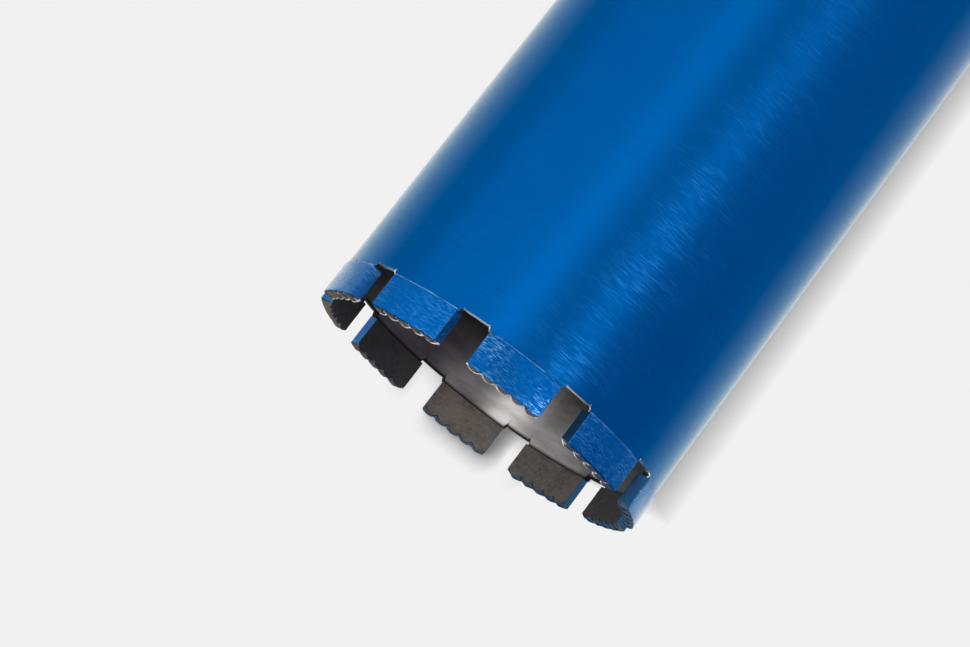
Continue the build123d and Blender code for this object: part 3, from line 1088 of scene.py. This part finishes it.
# A painted highlight along the seam's crown.
SEAM_HIGHLIGHT = (0.10, 0.34, 0.66)
SEAM_PATCH, SEAM_RELIEF = (4 * MM,) * 3, 0.02 * MM
SEAM_ROUGH, SEAM_HIGHLIGHT_ROUGH, SEAM_METAL = 0.35, 0.22, 0.8
SEAM_INSET, SEAM_OUT, SEAM_DOWN = 0.2 * MM, 0.08 * MM, 0.05 * MM
SEAM_WANDER, RIPPLE_LENGTH, SWELL_LENGTH = (5 * MM,), 0.35 * MM, (2.5 * MM,)
SEAM_POINTS, SEAM_SIDES, RIPPLE, SWELL = 240, 12, 0.05, 0.10
HIGHLIGHT_LENGTHS = (0.42, 0.60)


def seam_material():
    """Lacquer over the seam, with a painted highlight in pale lengths along its crown."""
    made, tree, shader = new_material("lacquered_seam")
    thin = noise(tree, SEAM_PATCH, detail=3.0)
    # The pale lengths are a painted highlight.
    highlight = ranged(tree, thin, *HIGHLIGHT_LENGTHS)
    feed(tree, shader.inputs["Base Color"], blend_colours(tree, highlight, BLUE, SEAM_HIGHLIGHT))
    feed(tree, shader.inputs["Roughness"], blend_values(tree, highlight, SEAM_ROUGH, SEAM_HIGHLIGHT_ROUGH))
    shader.inputs["Metallic"].default_value = SEAM_METAL
    bump(tree, shader, thin, SEAM_RELIEF)
    return made


def weld_seam(number):
    """A path along the foot of the segment that wanders a little, with ripples and slow swells."""
    x = np.linspace(-0.5, 0.5, SEAM_POINTS) * (SEGMENT_LENGTH - SEAM_INSET)
    z = RIM - SEAM_DOWN + SEAM_DOWN * waves(SEAM_WANDER, SEEDS["seam"] + number, x)
    path = at_segment(number, x, BARREL_OUTSIDE + SEAM_OUT, z)
    ripple = RIPPLE * np.sin(x / RIPPLE_LENGTH * 2 * math.pi)
    swell = SWELL * waves(SWELL_LENGTH, SEEDS["ripple"] + number, x)
    return path, SEAM * (1 + ripple + swell), segment_frame(number)[0]


SEAM_FINISH = seam_material()
for number, name in enumerate(SEGMENTS):
    seam = tubes(f"{name}_seam", [weld_seam(number)], SEAM_SIDES)
    finish_piece(seam, SEAM_FINISH, "barrel_paint")

# %% [markdown]
# ## Burrs at the slots
# At one corner of each slot, cutting threw up a curl of bright steel. A displaced edge could hint at it,
# but a curl stands free of the rim. Each is a short tube that climbs from the slot's root to the segment,
# and no two are alike.

# %% Slot burrs
BURR_LEAN, BURR_OUT, BURR_SIZES = (0.7, 1.1), (0.3, 0.7), (0.14, 0.24)
BURR_INSET, BURR_WOBBLE, BURR_TURNS = 0.30 * MM, 0.10 * MM, (5, 9)
BURR_POINTS, BURR_UNEVEN, BURR_WAVES = 40, 0.3, 7


def slot_burr(number):
    """A path from the slot's root corner up its flared side, which leans outwards and wobbles."""
    rng = np.random.default_rng(SEEDS["burr"] + number)
    t = np.linspace(0, 1, BURR_POINTS)
    middle = SEGMENT_FRONT + (number + 0.5) * PITCH
    away = SLOT_ROOT + t * SLOT_FLARE * rng.uniform(*BURR_LEAN)
    radius = BARREL_OUTSIDE - BURR_INSET + rng.uniform(*BURR_OUT) * MM * np.sin(math.pi * t)
    z = RIM - SLOT_DEPTH * (1 - t) + BURR_WOBBLE * np.sin(t * rng.uniform(*BURR_TURNS))
    path = round_axis(radius, middle - away / BARREL_OUTSIDE, z)
    size = rng.uniform(*BURR_SIZES) * MM
    size = size * (1 + BURR_UNEVEN * np.sin(BURR_WAVES * t + rng.uniform(0, 6)))
    return path, size, np.array([math.cos(middle), math.sin(middle), 0.0])


for number in range(len(SEGMENTS)):
    finish_piece(tubes(f"slot_{number + 1:02d}_burr", [slot_burr(number)]), BARE, "segment_metal")

# %% [markdown]
# ## The back plate
# The plate closes the tube at the drill's end. It is turned, so its skin is one profile carried round the
# axis. A cylinder with a Bevel modifier would do nearly as well, but a profile also gives the spigot
# that sits in the tube.

# %% Back plate
NECK_RADIUS = 20.05 * MM
SPIGOT_RADIUS = BARREL_INSIDE - 0.1 * MM
FLANGE_CHAMFER = 1.2 * MM
SPIGOT_CHAMFER = 0.8 * MM
PLATE_BEVEL = 0.12 * MM
PLATE_STEP = 0.5 * MM
PLATE_COLUMNS = 200
JUST_UNDER = 0.01 * MM


def straight(start, end, step):
    """Points of a profile's straight run, about a step apart, without the last one."""
    start, end = np.array(start), np.array(end)
    count = max(int(np.ceil(np.linalg.norm(end - start) / step)), 1)
    return start + np.linspace(0, 1, count + 1)[:-1, None] * (end - start)


def profile(corners):
    """A closed profile of (radius, height) through its corners, with a short bevel at each corner."""
    corners = np.array(corners)
    before = np.roll(corners, 1, axis=0) - corners
    after = np.roll(corners, -1, axis=0) - corners
    first = corners + before / np.linalg.norm(before, axis=1, keepdims=True) * PLATE_BEVEL
    last = corners + after / np.linalg.norm(after, axis=1, keepdims=True) * PLATE_BEVEL
    stops = np.stack([first, last], 1).reshape(-1, 2)
    return np.concatenate([straight(a, b, PLATE_STEP) for a, b in zip(stops, np.roll(stops, -1, axis=0))])


plate_points = profile(
    [
        (NECK_RADIUS, PLATE_BOTTOM),
        (BARREL_OUTSIDE - FLANGE_CHAMFER, PLATE_BOTTOM),
        (BARREL_OUTSIDE, PLATE_BOTTOM + FLANGE_CHAMFER),
        (BARREL_OUTSIDE, BARREL_BOTTOM),
        (SPIGOT_RADIUS, BARREL_BOTTOM),
        (SPIGOT_RADIUS, PLATE_TOP - SPIGOT_CHAMFER),
        (SPIGOT_RADIUS - SPIGOT_CHAMFER, PLATE_TOP),
        (NECK_RADIUS, PLATE_TOP),
    ]
)
turn = np.linspace(0, 2 * math.pi, PLATE_COLUMNS, endpoint=False)
plate_grid = round_axis(plate_points[:, :1], turn, plate_points[:, 1:])
plate_paint = 1.0 * (plate_grid[..., 2] < BARREL_BOTTOM - JUST_UNDER)
finish_piece(surface("end_plate", plate_grid, {"paint": plate_paint}), TUBE, "barrel_paint", "back_plate")

# %% [markdown]
# ## The plate's weld
# The tube is welded to the plate all round. A plain ring would look like a gasket, because a hand-laid
# bead freezes in overlapping scales. So the ring's thickness swells and drops with the welder's rhythm.

# %% Plate weld
BEAD = 1.15 * MM
BEAD_DEEP = 0.9 * MM
BEAD_SCALE = 1.6 * MM
BEAD_COLUMNS, BEAD_SIDES = 1400, 16
BEAD_LEAST, BEAD_MORE = 0.93, 0.14
BEAD_WANDER = ((0.08, 7, 1), (0.06, 11, 0))
SCALE_PEAK = 27 / 4


def weld_scale(place):
    """One scale for each unit of place: place squared times what is left of it, which peaks at 1."""
    saw = place % 1.0
    return saw**2 * (1 - saw) * SCALE_PEAK


def ring_bead(name, radius, height):
    """A closed ring tube. Its thickness follows the scales, and its centre wanders a little."""
    turn = np.linspace(0, 2 * math.pi, BEAD_COLUMNS, endpoint=False)[:, None]
    count = round(2 * math.pi * radius / BEAD_SCALE)
    thick = BEAD * (BEAD_LEAST + BEAD_MORE * weld_scale(turn / (2 * math.pi) * count))
    wander = sum(size * BEAD * np.sin(times * turn + start) for size, times, start in BEAD_WANDER)
    section = np.linspace(0, 2 * math.pi, BEAD_SIDES, endpoint=False)
    grid = round_axis(radius + wander + thick * np.cos(section), turn, height + thick * np.sin(section))
    return surface(name, grid, {"paint": np.ones(grid.shape[:2])})


finish_piece(ring_bead("plate_weld", BARREL_OUTSIDE - BEAD_DEEP, BARREL_BOTTOM), TUBE, "barrel_paint")

# %% [markdown]
# ## The hub
# The hub screws onto the drill's spindle. Its flats and its thread could be cut from a turned body with
# Booleans, one after the other. Here it is one skin: a turned profile whose radius also depends on the
# angle, once for the six spanner flats and once for the thread, which climbs as it goes round.

# %% Hub sizes
HUB_RADIUS = 24.0 * MM
HUB_CHAMFER = 1.2 * MM
NECK = 20.0 * MM
NECK_TOP = PLATE_TOP + 1.5 * MM
WATER_RADIUS = 10.0 * MM
THREAD_RADIUS = 15.875 * MM
THREAD_PITCH = 25.4 / 7 * MM
THREAD_DEPTH = 1.95 * MM
THREAD_LENGTH = 34.0 * MM
THREAD_MOUTH = 1.5 * MM
THREAD_RELIEF, THREAD_FADE = 2.5 * MM, 2.0 * MM
VEE_SLOPE, VEE_FLAT = 1.25, 0.125
FLAT_RADIUS = 20.5 * MM
FLAT_LOW, FLAT_HIGH = 9.0 * MM, 29.0 * MM
FLAT_END, FLAT_SLOPE = 0.4 * MM, 0.35 * MM
WELD_LEG = 5.0 * MM


def hexagon_radius(angle):
    """Radius of a hexagon's side at an angle: its flat's distance over the cosine from the flat."""
    return FLAT_RADIUS / np.cos((angle % (math.pi / 3)) - math.pi / 6)


def thread_radius(angle, z):
    """A vee thread: a triangle wave of the climb less the turn, with flat crests and roots, that fades
    at its far end."""
    climb = (z / THREAD_PITCH - angle / (2 * math.pi)) % 1.0
    vee = np.clip(np.abs(climb - 0.5) * 2 * VEE_SLOPE - VEE_FLAT, 0, 1)
    fade = np.clip((THREAD_LENGTH - THREAD_RELIEF - z) / THREAD_FADE, 0, 1)
    return THREAD_RADIUS - THREAD_DEPTH * vee * fade


print("turns of thread", round(THREAD_LENGTH / THREAD_PITCH, 1))

# %% [markdown]
# The profile is a table. Each row names a run, says where it starts and how far apart its points are, in
# millimetres, and it ends where the next row starts. The flats, the thread and the fillet weld need close
# rows. The rest does with a few.

# %% Hub surface
HUB_COLUMNS = 240
HUB_RUNS = (
    ("face", THREAD_RADIUS + THREAD_MOUTH, 0, 0.6),
    ("chamfer", HUB_RADIUS - HUB_CHAMFER, 0, 0.4),
    ("side", HUB_RADIUS, HUB_CHAMFER, 0.8),
    ("flats", HUB_RADIUS, FLAT_LOW, 0.05),
    ("flats", HUB_RADIUS, FLAT_LOW + FLAT_END, 1.0),
    ("flats", HUB_RADIUS, FLAT_HIGH - FLAT_END, 0.05),
    ("side", HUB_RADIUS, FLAT_HIGH, 0.6),
    ("weld", HUB_RADIUS, PLATE_BOTTOM - WELD_LEG, 0.25),
    ("seat", HUB_RADIUS + WELD_LEG, PLATE_BOTTOM, 1.5),
    ("neck", NECK, PLATE_BOTTOM, 1.5),
    ("end", NECK, NECK_TOP, 0.6),
    ("bore", WATER_RADIUS, NECK_TOP, 1.5),
    ("shoulder", WATER_RADIUS, THREAD_LENGTH, 0.8),
    ("thread", THREAD_RADIUS, THREAD_LENGTH, 0.16),
    ("mouth", THREAD_RADIUS, THREAD_MOUTH, 0.3),
)
HUB_SCALES = 64
SCALE_LEAN = 0.9
WELD_SWELL, WELD_RIPPLE = 0.25 * MM, 0.28 * MM
WELD_SLANT = 0.7
SPRAY_STOPS, SPRAY_FADE = PLATE_BOTTOM - 1.1 * WELD_LEG, 0.8 * MM


def hub():
    """The table's points carried round, pulled in to the flats and the thread, and pushed out by the
    weld's scales. Lacquer starts a little below the weld."""
    turn = np.linspace(0, 2 * math.pi, HUB_COLUMNS, endpoint=False)[None, :]
    names, r, h, steps = zip(*HUB_RUNS)
    starts = np.stack([r, h], 1)
    runs = [straight(a, b, step * MM) for a, b, step in zip(starts, np.roll(starts, -1, axis=0), steps)]
    points = np.concatenate(runs)
    kind = np.repeat(names, [len(run) for run in runs])[:, None]
    radius, z = points[:, :1] + 0 * turn, points[:, 1:] + 0 * turn
    inset = np.clip(np.minimum(z - FLAT_LOW, FLAT_HIGH - z) / FLAT_SLOPE, 0, 1)
    flats = HUB_RADIUS - inset * np.clip(HUB_RADIUS - hexagon_radius(turn), 0, None)
    radius = np.where(kind == "flats", flats, radius)
    radius = np.where(kind == "thread", thread_radius(turn, z), radius)
    mouth = np.minimum(radius, thread_radius(turn, z) + (THREAD_MOUTH - z) + THREAD_DEPTH)
    radius = np.where(kind == "mouth", mouth, radius)
    leg = (z - (PLATE_BOTTOM - WELD_LEG)) / WELD_LEG
    scales = weld_scale(turn / (2 * math.pi) * HUB_SCALES + SCALE_LEAN * leg**2)
    bulge = np.sin(math.pi * np.clip(leg, 0, 1)) * (WELD_SWELL + WELD_RIPPLE * scales)
    out = (kind == "weld") * bulge * WELD_SLANT
    radius, z = radius + out, z - out
    outside = np.isin(kind, ("side", "weld", "seat"))
    paint = ramp(z, SPRAY_STOPS, SPRAY_FADE) * outside
    return surface("hub_body", round_axis(radius, turn, z), {"paint": paint})


# %% [markdown]
# ## The hub's finish
# The hub is plain turned steel with stains. The spray stopped at its weld. A straight edge would look
# masked off, so noise is added to the mask before it is cut, which makes the edge ragged.

# %% Hub finish
LATHE_DARK, LATHE_LIGHT, STAIN = (0.42, 0.41, 0.40), (0.62, 0.61, 0.59), (0.30, 0.27, 0.24)
LATHE_SIZE, LATHE_RELIEF = (12 * MM, 12 * MM, 0.25 * MM), 0.012 * MM
STAIN_SIZE, STAIN_RAGGED = (7 * MM, 7 * MM, 5 * MM), 0.35
LATHE_RANGE, STAIN_RANGE, STAIN_SPREAD, HUB_COVER = (0.3, 0.7), (0.55, 0.75), (0.3, 0.7), (0.45, 0.6)
HUB_ROUGH, HUB_PAINT_ROUGH = (0.28, 0.42), 0.36


def hub_material():
    made, tree, shader = new_material("turned_hub")
    lathe = noise(tree, LATHE_SIZE, detail=3.0, roughness=0.6)
    stain = noise(tree, STAIN_SIZE, detail=4.0)
    steel = blend_colours(tree, ranged(tree, lathe, *LATHE_RANGE), LATHE_DARK, LATHE_LIGHT)
    steel = blend_colours(tree, ranged(tree, stain, *STAIN_RANGE), steel, STAIN)
    edge = ranged(tree, stain, *STAIN_SPREAD, -STAIN_RAGGED, STAIN_RAGGED)
    cover = ranged(tree, combine(tree, "ADD", mask(tree, "paint"), edge), *HUB_COVER)
    feed(tree, shader.inputs["Base Color"], blend_colours(tree, cover, steel, LACQUER))
    worn = ranged(tree, stain, *STAIN_SPREAD, *HUB_ROUGH)
    feed(tree, shader.inputs["Roughness"], blend_values(tree, cover, worn, HUB_PAINT_ROUGH))
    shader.inputs["Metallic"].default_value = 1.0
    bump(tree, shader, lathe, LATHE_RELIEF)
    return made


finish_piece(hub(), hub_material(), "hub_steel", "hub")
